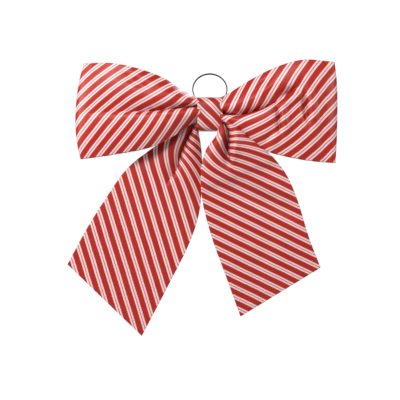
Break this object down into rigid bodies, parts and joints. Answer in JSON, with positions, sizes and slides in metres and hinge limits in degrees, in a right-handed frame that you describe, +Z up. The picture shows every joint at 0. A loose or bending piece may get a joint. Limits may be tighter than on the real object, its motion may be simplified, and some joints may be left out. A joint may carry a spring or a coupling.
{
  "type": "hair bow",
  "caption": "Large hair bow of striped satin ribbon with gathered loops, long slanted tails, a wrapped knot, a hanging ring and a spring hair clip behind it.",
  "frame": {"origin": "on the rear face of the clip's arm, behind the middle of the knot, where the hair is gripped", "axes": "+X to the viewer's right, -Y towards the viewer, +Y towards the hair, +Z up, as worn and as hung"},
  "size_m": [0.2131, 0.0382, 0.2183],
  "materials": {
    "striped_satin": "red satin twill with slanted pale stripes",
    "interlining": "stiff non-woven",
    "thread": "waxed polyester thread",
    "felt": "pressed felt",
    "keeper_ribbon": "ribbed narrow ribbon",
    "clip_steel": "nickel plated",
    "spring_steel": "bright drawn wire",
    "ring_steel": "dark polished"
  },
  "bodies": {
    "bow": {"knot_band": "striped_satin", "knot_interlining": "interlining", "waist_gather": "striped_satin", "tails_gather": "striped_satin", "waist_thread": "thread", "felt_pad": "felt", "clip_arm": "clip_steel", "clip_pin": "clip_steel", "clip_spring": "spring_steel", "knot_stitches": "thread", "ring_keeper": "keeper_ribbon"},
    "prong": {"clip_prong": "clip_steel"},
    "ring": {"split_ring": "ring_steel"},
    "left_loop": {"loop_left": "striped_satin", "loop_left_interlining": "interlining"},
    "right_loop": {"loop_right": "striped_satin", "loop_right_interlining": "interlining"},
    "left_tail": {"tail_left": "striped_satin", "tail_left_interlining": "interlining"},
    "right_tail": {"tail_right": "striped_satin", "tail_right_interlining": "interlining"}
  },
  "joints": [
    {"name": "clip_open", "type": "hinge", "parent": "bow", "child": "prong", "pos_m": [0.015, 0.0017, 0], "axis": [0, 0, -1], "range_deg": [0, 30], "stiffness_Nm_per_rad": 0.1, "springref_deg": -20.05, "deforming": ["clip_spring"]},
    {"name": "ring_swing", "type": "hinge", "parent": "bow", "child": "ring", "pos_m": [0, 0.00305, 0.0079], "axis": [1, 0, 0], "range_deg": [-75, 18]},
    {"name": "left_loop_flex", "type": "hinge", "parent": "bow", "child": "left_loop", "pos_m": [-0.0109, -0.0092, 0], "axis": [0, 0, -1], "range_deg": [-20, 8], "stiffness_Nm_per_rad": 0.02},
    {"name": "right_loop_flex", "type": "hinge", "parent": "bow", "child": "right_loop", "pos_m": [0.0109, -0.0092, 0], "axis": [0, 0, 1], "range_deg": [-20, 8], "stiffness_Nm_per_rad": 0.02},
    {"name": "left_tail_swing", "type": "hinge", "parent": "bow", "child": "left_tail", "pos_m": [-0.0152, -0.004, -0.015], "axis": [1, 0, 0], "range_deg": [-25, 25]},
    {"name": "right_tail_swing", "type": "hinge", "parent": "bow", "child": "right_tail", "pos_m": [0.012, -0.008, -0.015], "axis": [1, 0, 0], "range_deg": [-25, 25]}
  ]
}
